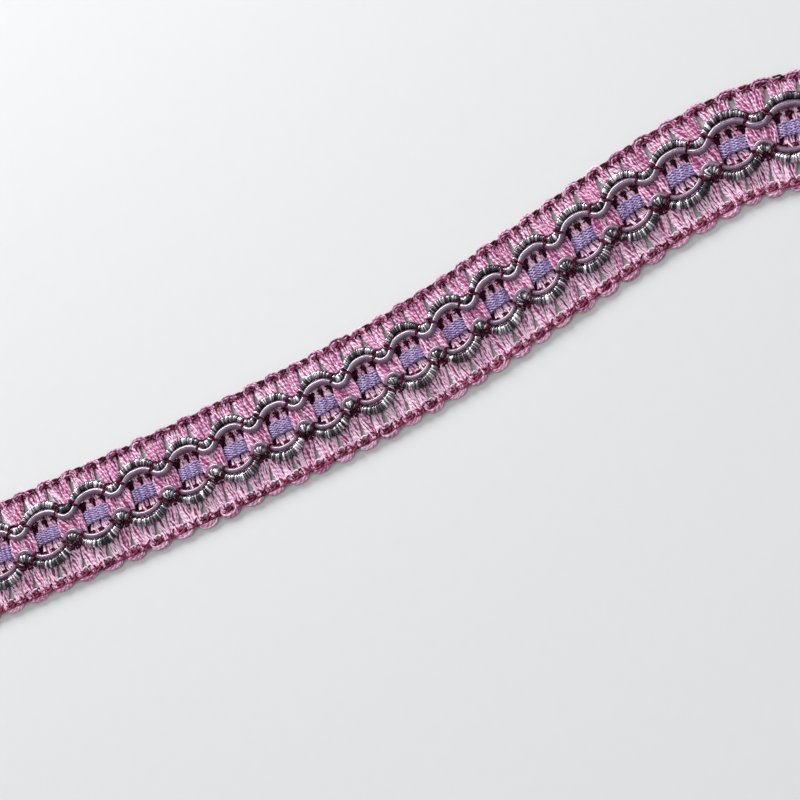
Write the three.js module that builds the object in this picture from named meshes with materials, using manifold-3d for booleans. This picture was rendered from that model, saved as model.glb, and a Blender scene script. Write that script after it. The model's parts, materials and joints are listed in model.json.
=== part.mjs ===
// A cut length of gimp braid trim, laid flat on a surface in a gentle S.
// A looped yarn ground carries a lilac tape down its middle, and two waving pairs of cords,
// each a metallic wrapped gimp with a satin gimp inside it, couched on its face.
// Millimetres, +Z up, +X along the strip. The underside lies at z = 0.

import * as THREE from 'three';
import { mergeVertices } from 'three/addons/utils/BufferGeometryUtils.js';
import Module from 'manifold-3d';

const wasm = await Module();
wasm.setup();

// Driving sizes
const FIRST_REPEAT = -1.5; // where the strip is cut at its two ends, counted in repeats
const LAST_REPEAT = 17.5;
const CLEARANCE = 0.3; // left between pieces that touch on the real braid
const PICOT_OUT = 10.05; // middle of the strip to the tip of a picot loop
const PICOT_FOOT_OUT = 9.3; // and to the notch between two picots
const PICOT_SIDE_OUT = 9.8;
const EDGE_TOP = 0.6; // height of a picot at its rim
const TAPE_WIDTH = 2.5;
const TAPE_THICKNESS = 0.6;
const TAPE_OVER = 1.3; // height of the tape's middle where it shows
const TAPE_UNDER = 0.3; // and where the ground passes over it
const SLIT_PHASES = [0.25, 0.75]; // the joints of each repeat where the tape dives through a slit
const SLIT_HALF = 0.05; // half a slit, in repeats
const SLIT_SPARE = 0.15; // how far a slit runs past the tape's room on each side
const SLIT_MIDDLE = 1; // height of a slit's middle
const SLIT_REACH = 1.6; // how far it runs above and below that
const TAPE_OVERRUN = 0.1; // how far the tape's room runs past each cut end, in repeats
const PICOT_LAG = 0.065; // how far the edges stand behind the cords, in repeats
const LAG_OUT = 5; // where that lag begins, from the middle outwards
const SATIN_RADIUS = 0.48;
const METALLIC_RADIUS = 0.7;
const CORD_SIDES = 6;
const LEGS = 4; // passes of the ground yarn in one repeat
const COURSE_STEPS = 400; // steps that the course is measured in
const MERGE_WITHIN = 1e-4; // points of a mesh closer than this are one point

// The line that the strip's middle follows on the surface.
const COURSE = [
  { along: -86.5, side: 1.3 },
  { along: -64, side: -0.5 },
  { along: -41, side: -2.2 },
  { along: -19, side: -3.2 },
  { along: -4.5, side: -3.45 },
  { along: 10.5, side: -2.8 },
  { along: 25.5, side: -1 },
  { along: 40.5, side: 1.2 },
  { along: 54.5, side: 2.6 },
  { along: 68, side: 2.1 },
  { along: 88, side: -4.5 },
];

// The pattern is stretched a little here and there, and leans where it was pulled.
const STRETCH = [
  { repeat: -1.5, pitch: 9.4, lean: -0.07 },
  { repeat: 1.5, pitch: 9.15, lean: -0.11 },
  { repeat: 4.5, pitch: 8.3, lean: -0.07 },
  { repeat: 8, pitch: 7.9, lean: -0.04 },
  { repeat: 11.5, pitch: 8.05, lean: 0.09 },
  { repeat: 13.25, pitch: 8.65, lean: 0.06 },
  { repeat: 15.25, pitch: 9.15, lean: -0.04 },
  { repeat: 17.5, pitch: 9.4, lean: -0.1 },
];

// Top of the ground, from the middle outwards: on a leg, between two legs that touch,
// and between two legs that a loop holds apart. The inmost rows carry the legs over the tape.
const GROUND_ROWS = [
  { out: 0.9, crown: 2.0, furrow: 1.85, opening: 1.85, low: 1.5 },
  { out: 2.1, crown: 1.6, furrow: 1.45, opening: 1.45, low: 1.6 },
  { out: 5.6, crown: 1.3, furrow: 1.05, opening: 0.7, low: 1.3 },
  { out: 8.0, crown: 1.15, furrow: 0.9, opening: 0.45, low: 1.15 },
  { out: 8.85, crown: 1.4, furrow: 1.4, opening: 1.25, low: 1.4 },
];

// Half a wave of each cord, from the middle of a dip to the top of an arch.
const SATIN_WAVE = [
  { phase: 0, out: 1.4, height: 2.5 },
  { phase: 0.11, out: 1.85, height: 2.45 },
  { phase: 0.2, out: 2.55, height: 2.35 },
  { phase: 0.33, out: 3.35, height: 2.3 },
  { phase: 0.5, out: 3.65, height: 2.3 },
];
const METALLIC_WAVE = [
  { phase: 0, out: 2.9, height: 2.55 },
  { phase: 0.07, out: 3.3, height: 2.5 },
  { phase: 0.16, out: 4.05, height: 2.45 },
  { phase: 0.3, out: 4.85, height: 2.4 },
  { phase: 0.5, out: 5.15, height: 2.4 },
];

// Half a wave of the tape, from the middle of a dip.
const TAPE_WAVE = [
  { phase: 0.15, out: 0, height: TAPE_UNDER },
  { phase: 0.35, out: 0, height: TAPE_OVER },
];

// Placing things along the strip

const course = new THREE.SplineCurve(COURSE.map((row) => new THREE.Vector2(row.along, row.side)));
course.arcLengthDivisions = COURSE_STEPS;
const courseLength = course.getLength();

function stretchAt(repeat, column) {
  const next = STRETCH.findIndex((row) => row.repeat >= repeat);
  if (next <= 0) return STRETCH[next === 0 ? 0 : STRETCH.length - 1][column];
  const [a, b] = [STRETCH[next - 1], STRETCH[next]];
  return THREE.MathUtils.mapLinear(repeat, a.repeat, b.repeat, a[column], b[column]);
}

// Distance from the first cut, the pitch summed over the repeats in between.
function distanceAt(repeat) {
  const turns = STRETCH.map((row) => row.repeat).filter((r) => r > FIRST_REPEAT && r < repeat);
  const marks = [FIRST_REPEAT, ...turns, repeat];
  let distance = 0;
  for (let i = 1; i < marks.length; i++) {
    const mean = (stretchAt(marks[i - 1], 'pitch') + stretchAt(marks[i], 'pitch')) / 2;
    distance += mean * (marks[i] - marks[i - 1]);
  }
  return distance;
}

const stripLength = distanceAt(LAST_REPEAT);

// A point of the laid strip from its place in the pattern.
function place(repeat, out, height) {
  const distance = distanceAt(repeat) + stretchAt(repeat, 'lean') * out;
  const share = (distance + (courseLength - stripLength) / 2) / courseLength;
  const middle = course.getPointAt(share);
  const ahead = course.getTangentAt(share);
  return new THREE.Vector3(middle.x - ahead.y * out, middle.y + ahead.x * out, height);
}

// One half wave, mirrored and repeated from the first cut to the last.
function waveStops(wave) {
  const whole = [...wave];
  for (const row of wave) {
    if (row.phase > 0 && row.phase < 0.5) whole.push({ ...row, phase: 1 - row.phase });
  }
  const stops = [];
  for (let repeat = Math.floor(FIRST_REPEAT); repeat <= LAST_REPEAT; repeat++) {
    for (const row of whole) stops.push({ ...row, repeat: repeat + row.phase });
  }
  const inside = (stop) => stop.repeat >= FIRST_REPEAT && stop.repeat <= LAST_REPEAT;
  return stops.filter(inside).sort((a, b) => a.repeat - b.repeat);
}

// Making closed meshes

function closedGeometry(points, triangles) {
  const geometry = new THREE.BufferGeometry().setFromPoints(points);
  geometry.setIndex(triangles);
  return geometry;
}

function pushQuad(triangles, a, b, c, d) {
  triangles.push(a, b, c, a, c, d);
}

// A closed ring of points carried along a path, with a flat cap at each end.
function sweep(path, ring) {
  const points = [];
  const triangles = [];
  const sides = ring.length;
  path.forEach((at, i) => {
    const ahead = path[Math.min(i + 1, path.length - 1)].clone().sub(path[Math.max(i - 1, 0)]);
    const across = new THREE.Vector3(-ahead.y, ahead.x, 0).normalize();
    for (const corner of ring) {
      points.push(at.clone().addScaledVector(across, corner.x).setZ(at.z + corner.y));
    }
  });
  for (let i = 0; i + 1 < path.length; i++) {
    for (let j = 0; j < sides; j++) {
      const here = i * sides;
      const next = (j + 1) % sides;
      pushQuad(triangles, here + j, here + sides + j, here + sides + next, here + next);
    }
  }
  const last = (path.length - 1) * sides;
  for (let j = 1; j + 1 < sides; j++) {
    triangles.push(0, j, j + 1);
    triangles.push(last, last + j + 1, last + j);
  }
  return closedGeometry(points, triangles);
}

function roundRing(radius) {
  const ring = [];
  for (let i = 0; i < CORD_SIDES; i++) {
    const angle = -Math.PI / 2 - (i * 2 * Math.PI) / CORD_SIDES;
    ring.push(new THREE.Vector2(radius * Math.cos(angle), radius * Math.sin(angle)));
  }
  return ring;
}

function flatRing(halfWidth, halfThickness) {
  return [
    new THREE.Vector2(-halfWidth, -halfThickness),
    new THREE.Vector2(-halfWidth, halfThickness),
    new THREE.Vector2(halfWidth, halfThickness),
    new THREE.Vector2(halfWidth, -halfThickness),
  ];
}

function toSolid(geometry) {
  const bare = geometry.clone();
  bare.deleteAttribute('normal');
  bare.deleteAttribute('uv');
  const merged = mergeVertices(bare, MERGE_WITHIN);
  const vertProperties = new Float32Array(merged.attributes.position.array);
  const triVerts = new Uint32Array(merged.index.array);
  return new wasm.Manifold(new wasm.Mesh({ numProp: 3, vertProperties, triVerts }));
}

function fromSolid(solid) {
  const mesh = solid.getMesh();
  const geometry = new THREE.BufferGeometry();
  geometry.setAttribute('position', new THREE.BufferAttribute(mesh.vertProperties, 3));
  geometry.setIndex(new THREE.BufferAttribute(mesh.triVerts, 1));
  return geometry;
}

// The looped ground

// The legs meet or part at the joints between them, and the two edges take turns:
// where the legs touch at one edge, the loop of the other edge holds them apart.
function groundColumn(eighth, side) {
  const spot = ((eighth % (2 * LEGS)) + 2 * LEGS) % (2 * LEGS);
  const onLeg = spot % 2 === 1;
  const atDip = spot === 0 || spot === LEGS;
  const parted = !onLeg && atDip === side < 0;
  const overTape = spot <= 1 || spot === 2 * LEGS - 1;
  const heights = GROUND_ROWS.map((row, i) => {
    if (i === 0 && !overTape) return { out: row.out, height: row.low };
    if (onLeg) return { out: row.out, height: row.crown };
    return { out: row.out, height: parted ? row.opening : row.furrow };
  });
  const rim = onLeg ? PICOT_SIDE_OUT : parted ? PICOT_OUT : PICOT_FOOT_OUT;
  heights.push({ out: rim, height: EDGE_TOP });
  return heights;
}

// The edges of the ground lag a little behind its middle.
function groundPlace(repeat, out, height) {
  const lag = Math.abs(out) > LAG_OUT ? PICOT_LAG : 0;
  return place(repeat - lag, out, height);
}

// Raised on its face only: its underside is one flat sheet on the surface.
function groundBlank() {
  const points = [];
  const triangles = [];
  const firstEighth = Math.round(FIRST_REPEAT * 2 * LEGS);
  const lastEighth = Math.round(LAST_REPEAT * 2 * LEGS);
  let perColumn = 0;
  for (let eighth = firstEighth; eighth <= lastEighth; eighth++) {
    const repeat = eighth / (2 * LEGS);
    const lower = groundColumn(eighth, -1).reverse();
    const upper = groundColumn(eighth, 1);
    const across = [...lower.map((p) => ({ out: -p.out, height: p.height })), ...upper];
    for (const p of across) points.push(groundPlace(repeat, p.out, p.height));
    points.push(groundPlace(repeat, across[across.length - 1].out, 0));
    points.push(groundPlace(repeat, across[0].out, 0));
    perColumn = across.length + 2;
  }
  const columns = lastEighth - firstEighth;
  for (let i = 0; i < columns; i++) {
    const here = i * perColumn;
    for (let j = 0; j < perColumn; j++) {
      const next = (j + 1) % perColumn;
      pushQuad(triangles, here + j, here + perColumn + j, here + perColumn + next, here + next);
    }
  }
  capEnd(points, triangles, 0, perColumn, false);
  capEnd(points, triangles, columns * perColumn, perColumn, true);
  return closedGeometry(points, triangles);
}

// Closes the ground where it is cut, over one column's ring of points.
function capEnd(points, triangles, start, count, facesAhead) {
  const ring = points.slice(start, start + count);
  const corner = ring[count - 1];
  const outline = ring.map((p) => new THREE.Vector2(Math.hypot(p.x - corner.x, p.y - corner.y), p.z));
  for (const [a, b, c] of THREE.ShapeUtils.triangulateShape(outline, [])) {
    const turn = facesAhead ? [a, b, c] : [a, c, b];
    triangles.push(...turn.map((k) => start + k));
  }
}

function tapePath(overrun) {
  const stops = waveStops(TAPE_WAVE);
  const path = [place(FIRST_REPEAT - overrun, 0, TAPE_OVER)];
  for (const stop of stops) path.push(place(stop.repeat, stop.out, stop.height));
  path.push(place(LAST_REPEAT + overrun, 0, TAPE_OVER));
  return path;
}

// An upright slot through the ground, where the tape passes between two legs.
function slit(repeat) {
  const out = TAPE_WIDTH / 2 + CLEARANCE + SLIT_SPARE;
  const path = [place(repeat - SLIT_HALF, 0, SLIT_MIDDLE), place(repeat + SLIT_HALF, 0, SLIT_MIDDLE)];
  return sweep(path, flatRing(out, SLIT_REACH));
}

function groundBraid() {
  const room = flatRing(TAPE_WIDTH / 2 + CLEARANCE, TAPE_THICKNESS / 2 + CLEARANCE);
  let cutter = toSolid(sweep(tapePath(TAPE_OVERRUN), room));
  for (let repeat = Math.floor(FIRST_REPEAT); repeat <= LAST_REPEAT; repeat++) {
    for (const phase of SLIT_PHASES) {
      const joint = repeat + phase;
      if (joint > FIRST_REPEAT && joint < LAST_REPEAT) cutter = cutter.add(toSolid(slit(joint)));
    }
  }
  return fromSolid(toSolid(groundBlank()).subtract(cutter));
}

// The tape and the cords

function centreTape() {
  return sweep(tapePath(0), flatRing(TAPE_WIDTH / 2, TAPE_THICKNESS / 2));
}

function cord(wave, radius, side) {
  const path = waveStops(wave).map((stop) => place(stop.repeat, side * stop.out, stop.height));
  return sweep(path, roundRing(radius));
}

function yarn(color, roughness, metalness = 0) {
  return new THREE.MeshStandardMaterial({ color, roughness, metalness, flatShading: true });
}

const pinkYarn = yarn(0xc98aa8, 0.55);
const lilacYarn = yarn(0x7f70b0, 0.6);
const mauveSatin = yarn(0x8f7291, 0.35);
const gunmetalFoil = yarn(0x4c5252, 0.3, 0.8);

const pieces = [
  ['ground_braid', groundBraid(), pinkYarn],
  ['centre_tape', centreTape(), lilacYarn],
  ['satin_gimp_upper', cord(SATIN_WAVE, SATIN_RADIUS, 1), mauveSatin],
  ['satin_gimp_lower', cord(SATIN_WAVE, SATIN_RADIUS, -1), mauveSatin],
  ['metallic_gimp_upper', cord(METALLIC_WAVE, METALLIC_RADIUS, 1), gunmetalFoil],
  ['metallic_gimp_lower', cord(METALLIC_WAVE, METALLIC_RADIUS, -1), gunmetalFoil],
];

const braid = new THREE.Group();
for (const [name, geometry, material] of pieces) {
  const mesh = new THREE.Mesh(geometry, material);
  mesh.name = name;
  braid.add(mesh);
}

// The origin is under the middle of the strip's box.
const middle = new THREE.Box3().setFromObject(braid).getCenter(new THREE.Vector3());
braid.position.set(-middle.x, -middle.y, 0);

export default braid;
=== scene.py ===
import json
import math

import bpy
import numpy as np
from bpy.props import FloatProperty, FloatVectorProperty, IntProperty, PointerProperty
from mathutils import Matrix, Vector

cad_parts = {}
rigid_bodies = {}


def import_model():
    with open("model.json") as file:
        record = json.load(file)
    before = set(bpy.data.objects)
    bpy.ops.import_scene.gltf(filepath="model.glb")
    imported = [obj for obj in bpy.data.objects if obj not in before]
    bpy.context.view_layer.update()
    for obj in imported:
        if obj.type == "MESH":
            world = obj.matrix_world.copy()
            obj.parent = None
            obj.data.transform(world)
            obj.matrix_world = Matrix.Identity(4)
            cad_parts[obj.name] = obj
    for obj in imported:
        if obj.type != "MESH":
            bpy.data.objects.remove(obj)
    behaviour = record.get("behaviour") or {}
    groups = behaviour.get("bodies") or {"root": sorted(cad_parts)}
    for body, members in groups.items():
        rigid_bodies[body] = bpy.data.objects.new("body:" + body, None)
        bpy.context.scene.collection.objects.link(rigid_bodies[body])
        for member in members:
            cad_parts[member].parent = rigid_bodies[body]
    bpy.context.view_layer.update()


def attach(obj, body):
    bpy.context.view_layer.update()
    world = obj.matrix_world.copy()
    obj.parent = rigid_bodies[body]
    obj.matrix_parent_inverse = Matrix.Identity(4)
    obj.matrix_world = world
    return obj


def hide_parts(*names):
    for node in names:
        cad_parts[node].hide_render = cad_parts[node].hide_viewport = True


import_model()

bl_info = {
    "name": "Gimp braid trim",
    "version": (1, 0, 0),
    "blender": (4, 5, 0),
    "location": "View3D > Sidebar > Braid",
    "description": "Dresses a laid length of looped gimp braid with its yarns, cords and stitches",
    "category": "Object",
}

MM = 0.001

# A diagonal wave texture of scale 1 repeats at each 0.628.
TWIST_SCALE = 0.628
# Millimetres from one turn of the filaments' twist to the next.
TWIST_PITCH = 0.85
# Each yarn's pattern starts at another place, up to this far along it.
GOLDEN, LONGEST_START = 0.618, 7.0

# The pattern is laid out in repeats along the strip and in millimetres across and above it.
FIRST_REPEAT = -1.5
LAST_REPEAT = 17.5
USUAL_PITCH = 8.0
# The pitch at which the legs have the widths of their table.
TABLE_PITCH = 8.15

# The line that the strip's middle follows on the surface: along, side.
COURSE = [
    (-86.5, 1.3),
    (-64, -0.5),
    (-41, -2.2),
    (-19, -3.2),
    (-4.5, -3.45),
    (10.5, -2.8),
    (25.5, -1),
    (40.5, 1.2),
    (54.5, 2.6),
    (68, 2.1),
    (88, -4.5),
]

# Where the pattern is stretched and where it leans: repeat, pitch, lean.
STRETCH = [
    (-1.5, 9.4, -0.07),
    (1.5, 9.15, -0.11),
    (4.5, 8.3, -0.07),
    (8, 7.9, -0.04),
    (11.5, 8.05, 0.09),
    (13.25, 8.65, 0.06),
    (15.25, 9.15, -0.04),
    (17.5, 9.4, -0.1),
]

# The ground stands a little behind the upper cords, most of all at its edges, in repeats.
MIDDLE_LAG, EDGE_LAG = 0.012, 0.065
LAG_STARTS, LAG_WHOLE = 2.5, 7.0
LOWER_CORD_LAG = 0.03

# Half widths of the strip at the picot tips, their sides and the notches between them.
RIM_AT_EIGHTHS = {"tip": 10.05, "side": 9.8, "notch": 9.3}

# A leg of the ground yarn from the lower edge to the upper one. Gaps are from the joint
# that it stands beside, in repeats; "over" legs pass over the tape and "under" legs beneath it.
# out, gap over, gap under, width over, width under, rise over, rise under, depth.
LEG_ROWS = [
    (-8.9, 0.140, 0.140, 1.70, 1.70, 0.62, 0.62, 0.80),
    (-7.3, 0.149, 0.150, 1.68, 1.66, 0.62, 0.62, 1.00),
    (-5.8, 0.129, 0.133, 1.86, 1.82, 0.68, 0.66, 1.10),
    (-4.2, 0.118, 0.122, 1.85, 1.80, 0.85, 0.76, 1.10),
    (-2.6, 0.110, 0.116, 1.85, 1.86, 1.20, 0.80, 1.00),
    (-1.3, 0.124, 0.106, 2.08, 1.56, 1.58, 0.68, 0.90),
    (0.0, 0.128, 0.102, 2.15, 1.30, 1.68, 0.58, 0.85),
    (1.3, 0.124, 0.104, 2.08, 1.42, 1.58, 0.68, 0.90),
    (2.6, 0.108, 0.098, 1.80, 1.15, 1.20, 0.80, 1.00),
    (4.2, 0.100, 0.110, 1.60, 1.70, 0.85, 0.76, 1.10),
    (6.0, 0.100, 0.110, 1.62, 1.70, 0.68, 0.64, 1.10),
    (7.5, 0.114, 0.114, 1.86, 1.86, 0.62, 0.60, 1.00),
    (8.9, 0.118, 0.118, 1.82, 1.82, 0.60, 0.60, 0.80),
]

# Half a wave of the cord pairs, from the middle of a dip to the top of an arch:
# phase, out, height, share of the cord's radius.
SATIN_WAVE = [
    (0.00, 1.40, 2.25, 1.00),
    (0.06, 1.48, 2.23, 1.00),
    (0.12, 1.82, 2.18, 0.98),
    (0.165, 2.27, 2.08, 0.94),
    (0.20, 2.62, 2.00, 0.92),
    (0.245, 3.03, 1.95, 0.95),
    (0.33, 3.50, 1.93, 1.00),
    (0.42, 3.72, 1.92, 1.00),
    (0.50, 3.76, 1.92, 1.00),
]
METALLIC_WAVE = [
    (0.00, 2.54, 2.45, 0.98),
    (0.05, 2.64, 2.38, 0.96),
    (0.09, 2.96, 2.18, 0.88),
    (0.13, 3.44, 1.95, 0.78),
    (0.175, 3.94, 1.86, 0.88),
    (0.25, 4.50, 1.88, 1.00),
    (0.33, 4.88, 1.90, 1.03),
    (0.42, 5.12, 1.90, 1.05),
    (0.50, 5.18, 1.90, 1.05),
]

# The tape from the middle of a dip to the middle of an arch: phase, height.
TAPE_WAVE = [(0.0, 0.55), (0.17, 0.58), (0.25, 1.0), (0.33, 1.5), (0.5, 1.55)]
TAPE_YARNS, TAPE_SPACING = 5, 0.475

# The middle of a picot's strands, from its foot to its tip:
# repeats from the middle of the loop, out, height, how far the strands lie from it.
PICOT_LOWER = [
    (0.148, 7.5, 0.62, 0.36),
    (0.156, 8.3, 0.66, 0.34),
    (0.146, 8.9, 0.58, 0.32),
    (0.108, 9.28, 0.50, 0.30),
    (0.055, 9.42, 0.48, 0.29),
    (0.0, 9.45, 0.48, 0.29),
]
PICOT_UPPER = [
    (0.136, 7.7, 0.60, 0.36),
    (0.138, 8.4, 0.64, 0.36),
    (0.124, 8.80, 0.78, 0.36),
    (0.090, 9.02, 0.84, 0.38),
    (0.046, 9.10, 0.86, 0.38),
    (0.0, 9.12, 0.86, 0.38),
]
# The small arc inside the lower chain that closes the gap between two legs.
ARC_HALF = [
    (0.066, 8.45, 0.90, 0.0),
    (0.060, 8.15, 1.10, 0.0),
    (0.035, 7.88, 1.16, 0.0),
    (0.0, 7.80, 1.18, 0.0),
]
# A loop: swing and spread of its strands, its growth and sway, and its least height.
LOOP_SWING, LOOP_SPREAD = 0.9, (0.75, 1.25)
LOOP_GROWTH, LEAST_LOOP, LARGEST_LOOP = 0.03, 0.93, 1.04
LOOP_SWAY, LOOP_LOWEST = 0.010, 0.18

# The dark core of a leg, as a share of its width and depth; its dark colour is painted shade between the
# strands.
CORE_SHARE = 0.82
# Length of a strand's turn round its leg, from and to.
LEG_LAY = (11, 26)
# Painted light: the lower half of a leg is drawn lighter outwards, standing in for the light it gets
# there: by how much, and how far out in full.
LOWER_PAINTED_LIGHT, PAINTED_LIGHT_WHOLE = 0.29, 2.8
# The threads that run along the strip under the legs, in the core's darkest tone as painted shade under
# them: out, height.
WARP_RADIUS = 0.30
CORE_WARPS = [(0.9, 0.31), (1.4, 0.31), (1.9, 0.31), (2.4, 0.33), (2.9, 0.31), (8.3, 0.35)]

# The tape's plies: step along the tape, length of one turn, share of a ply from the middle.
TAPE_STEP, TAPE_TURN, PLY_SPREAD = 0.18, 1.44, 0.56
# The dark bed under the tape's yarns, painted shade in the gaps between them: how far down, width,
# thickness.
TAPE_BED_DROP, TAPE_BED_WIDTH, TAPE_BED_DEPTH = 0.12, 2.3, 0.22

# The upper satin cord is thicker by this share and the lower one thinner; the metallic
# cords differ the other way.
SATIN_DIFFERENCE, METALLIC_DIFFERENCE = 0.11, 0.04
# Cords and tape start and end so far inside the cut ends.
CORD_START = 0.02
# A turn of the foil: its height, its least height, its lean, and how dark its grooves are painted, as
# shade.
FOIL_CREST, FOIL_LEAST, FOIL_LEAN, FOIL_GROOVE_SHADE = 0.23, 0.45, 1.1, 0.8

# Chain stitches: links a repeat, out, height, half length, half width.
CHAIN_OUT = 8.78
EDGE_LINKS = (4, CHAIN_OUT, 0.95, 1.36, 0.31)
BINDING_LINKS = (6, 2.72, 1.12, 0.95, 0.26)
# A link: how much wider its head is, its rise and dip, and how far it turns and strays.
LINK_HEAD, LINK_RISE, LINK_DIP, LINK_TURN, LINK_STRAY = 0.35, 0.22, 0.08, 0.07, 0.05
# Threads laid under the stitches, in dark tones as painted shade inside the links: out, height, radius,
# tone.
CHAIN_SHADE_BED = (CHAIN_OUT, 0.72, 0.26, -0.5)
BINDING_SHADE_BEDS = [(2.72, 1.0, 0.2, -0.4), (4.05, 1.1, 0.2, 0.1)]
# Stitches over the feet of the legs: how many a repeat, out, reach, half length, height, rise.
FEET_A_REPEAT, FOOT_OUT, FOOT_REACH = 8, 8.22, 0.30
FOOT_HALF, FOOT_HEIGHT, FOOT_RISE = 0.045, 0.80, 0.42
# A tie over both cords: share of its way, repeats from the middle of the dip, out.
TIE_COURSE = [(0, 0.235, 2.02), (0.25, 0.205, 2.45), (0.5, 0.165, 3.0), (0.75, 0.13, 3.6), (1, 0.1, 4.2)]
# The same tie: share of its way, height. Ties lie in pairs, so far to each side.
TIE_HEIGHTS = [(0, 0.9), (0.12, 1.75), (0.3, 2.58), (0.48, 2.3), (0.7, 2.68), (0.9, 1.7), (1, 0.9)]
TIE_APART = 0.13
# Stitches at the outer side of each dip: outs, half length, height, fall and bend of the ends.
DIP_OUTS = (3.25, 3.5, 3.75)
DIP_HALF, DIP_HEIGHT, DIP_FALL, DIP_BEND = 0.085, 1.62, 0.35, 0.12

# Random drift along the yarns: how much, and over what length: millimetres for strands
# and legs, metres for the cords' wraps, repeats for the rest.
DRIFTS = {
    "strand angle": (0.45, 8.0),
    "strand reach": (0.13, 4.5),
    "strand side": (0.06, 3.5),
    "leg side": (0.08, 14.0),
    "tape twist": (0.7, 2.5),
    "tape side": (0.03, 0.8),
    "tape height": (0.03, 0.5),
    "ply twist": (0.25, 0.6),
    "cord side": (0.07, 2.3),
    "satin swell": (0.04, 3.0 * MM),
    "foil slip": (0.6, 3.1 * MM),
    "laid side": (0.05, 0.7),
}
# Lightness of the yarns, from 0 to 1, and how much it varies from one to the next.
TONES = {
    "floss_over_tape": (0.50, 0.17),
    # The legs under the tape are drawn lighter than those over it: painted light.
    "floss_under_tape": (0.70, 0.17),
    "lower picot": (0.63, 0.18),
    "upper picot": (0.46, 0.18),
    "inner arc": (0.9, 0.1),
    "tape ply": (0.55, 0.10),
    "foil turn": (0.58, 0.34),
    "upper chain": (0.5, 0.14),
    # The lower chain is drawn lighter than the upper one: painted light.
    "lower chain": (0.86, 0.14),
    "foot stitch": (0.7, 0.25),
    # The binding is dark: plum thread with painted shade between the legs.
    "binding": (0.25, 0.14),
    "tie": (0.28, 0.12),
    "dip stitch": (0.15, 0.12),
}

# The table top: width, and depth below the part.
FLOOR_SIZE, FLOOR_DROP = 4.0, 0.00002
SENSOR_WIDTH = 36.0
# Lights: name, direction from the middle of the view, distance, width.
LIGHTS = [
    ("key", (-0.27, 0.77, 0.50), 1.3, 0.74),
    ("overhead", (0, -0.1, 1), 1.6, 1.6),
    ("front", (0.3, -0.8, 0.65), 1.6, 1.2),
]


# Laying the pattern out

def row_columns(rows):
    return [np.array(column, float) for column in zip(*rows)]


def course_line(steps=60):
    """Distance along the strip's middle line, with its points and its headings."""
    knots = np.array(COURSE, float)
    padded = np.vstack([knots[:1], knots, knots[-1:]])
    t = np.linspace(0, 1, steps, endpoint=False)[:, None]
    stretches = []
    for a, b, c, d in zip(padded, padded[1:], padded[2:], padded[3:]):
        square = (2 * a - 5 * b + 4 * c - d) * t**2
        cube = (3 * b - a - 3 * c + d) * t**3
        stretches.append((2 * b + (c - a) * t + square + cube) / 2)
    points = np.vstack([*stretches, knots[-1:]])
    run = np.r_[0, np.cumsum(np.hypot(*np.diff(points, axis=0).T))]
    heading = np.gradient(points, run, axis=0)
    return run, points, heading / np.linalg.norm(heading, axis=1)[:, None]


def repeat_line(margin=2.0, steps=4000):
    """The repeats along the strip and the distance of each from the first cut."""
    marks, pitches, _ = row_columns(STRETCH)
    repeats = np.linspace(FIRST_REPEAT - margin, LAST_REPEAT + margin, steps)
    pitch = np.interp(repeats, marks, pitches)
    steps_run = (pitch[1:] + pitch[:-1]) / 2 * np.diff(repeats)
    distance = np.r_[0, np.cumsum(steps_run)]
    return repeats, distance - np.interp(FIRST_REPEAT, repeats, distance)


COURSE_RUN, COURSE_POINTS, COURSE_HEADINGS = course_line()
REPEATS, DISTANCES = repeat_line()
STRIP_LENGTH = float(np.interp(LAST_REPEAT, REPEATS, DISTANCES))


def pitch_at(repeat):
    marks, pitches, _ = row_columns(STRETCH)
    return np.interp(repeat, marks, pitches)


def ground_lag(out):
    """How far a place of the ground stands behind the upper cords, in repeats."""
    share = np.clip((np.abs(out) - LAG_STARTS) / (LAG_WHOLE - LAG_STARTS), 0, 1)
    return MIDDLE_LAG + (EDGE_LAG - MIDDLE_LAG) * share * share * (3 - 2 * share)


def on_course(repeat, out):
    """Plan position, in millimetres, of a place in the pattern."""
    marks, _, leans = row_columns(STRETCH)
    distance = np.interp(repeat, REPEATS, DISTANCES) + np.interp(repeat, marks, leans) * out
    run = distance + (COURSE_RUN[-1] - STRIP_LENGTH) / 2
    x, y = (np.interp(run, COURSE_RUN, COURSE_POINTS[:, i]) for i in range(2))
    hx, hy = (np.interp(run, COURSE_RUN, COURSE_HEADINGS[:, i]) for i in range(2))
    return x - hy * out, y + hx * out


def course_middle():
    """The middle of the strip's box, which the frame has as its origin."""
    corners = []
    for eighth in range(int(FIRST_REPEAT * 8), int(LAST_REPEAT * 8) + 1):
        for side in (-1, 1):
            corner = "side" if eighth % 2 else "tip" if (eighth % 4 == 0) == (side < 0) else "notch"
            corners.append(on_course(eighth / 8 - EDGE_LAG, side * RIM_AT_EIGHTHS[corner]))
    return (np.min(corners, axis=0) + np.max(corners, axis=0)) / 2


MIDDLE_X, MIDDLE_Y = course_middle()


def lay(repeat, out, height):
    """Points in metres, in the frame, of places in the pattern."""
    repeat, out, height = np.broadcast_arrays(repeat, out, height)
    x, y = on_course(repeat, out)
    return np.stack([x - MIDDLE_X, y - MIDDLE_Y, height], axis=-1) * MM


def lay_ground(repeat, out, height):
    return lay(repeat - ground_lag(out), out, height)


def smooth(at, marks, values):
    """A curve through the values of a table, with no corners."""
    marks, values = np.asarray(marks, float), np.asarray(values, float)
    slopes = np.gradient(values, marks)
    i = np.clip(np.searchsorted(marks, at, side="right") - 1, 0, len(marks) - 2)
    width = marks[i + 1] - marks[i]
    t = np.clip((at - marks[i]) / width, 0, 1)
    rise = values[i] * (1 + 2 * t) * (1 - t) ** 2 + values[i + 1] * t * t * (3 - 2 * t)
    return rise + width * t * (1 - t) * (slopes[i] * (1 - t) - slopes[i + 1] * t)


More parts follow.
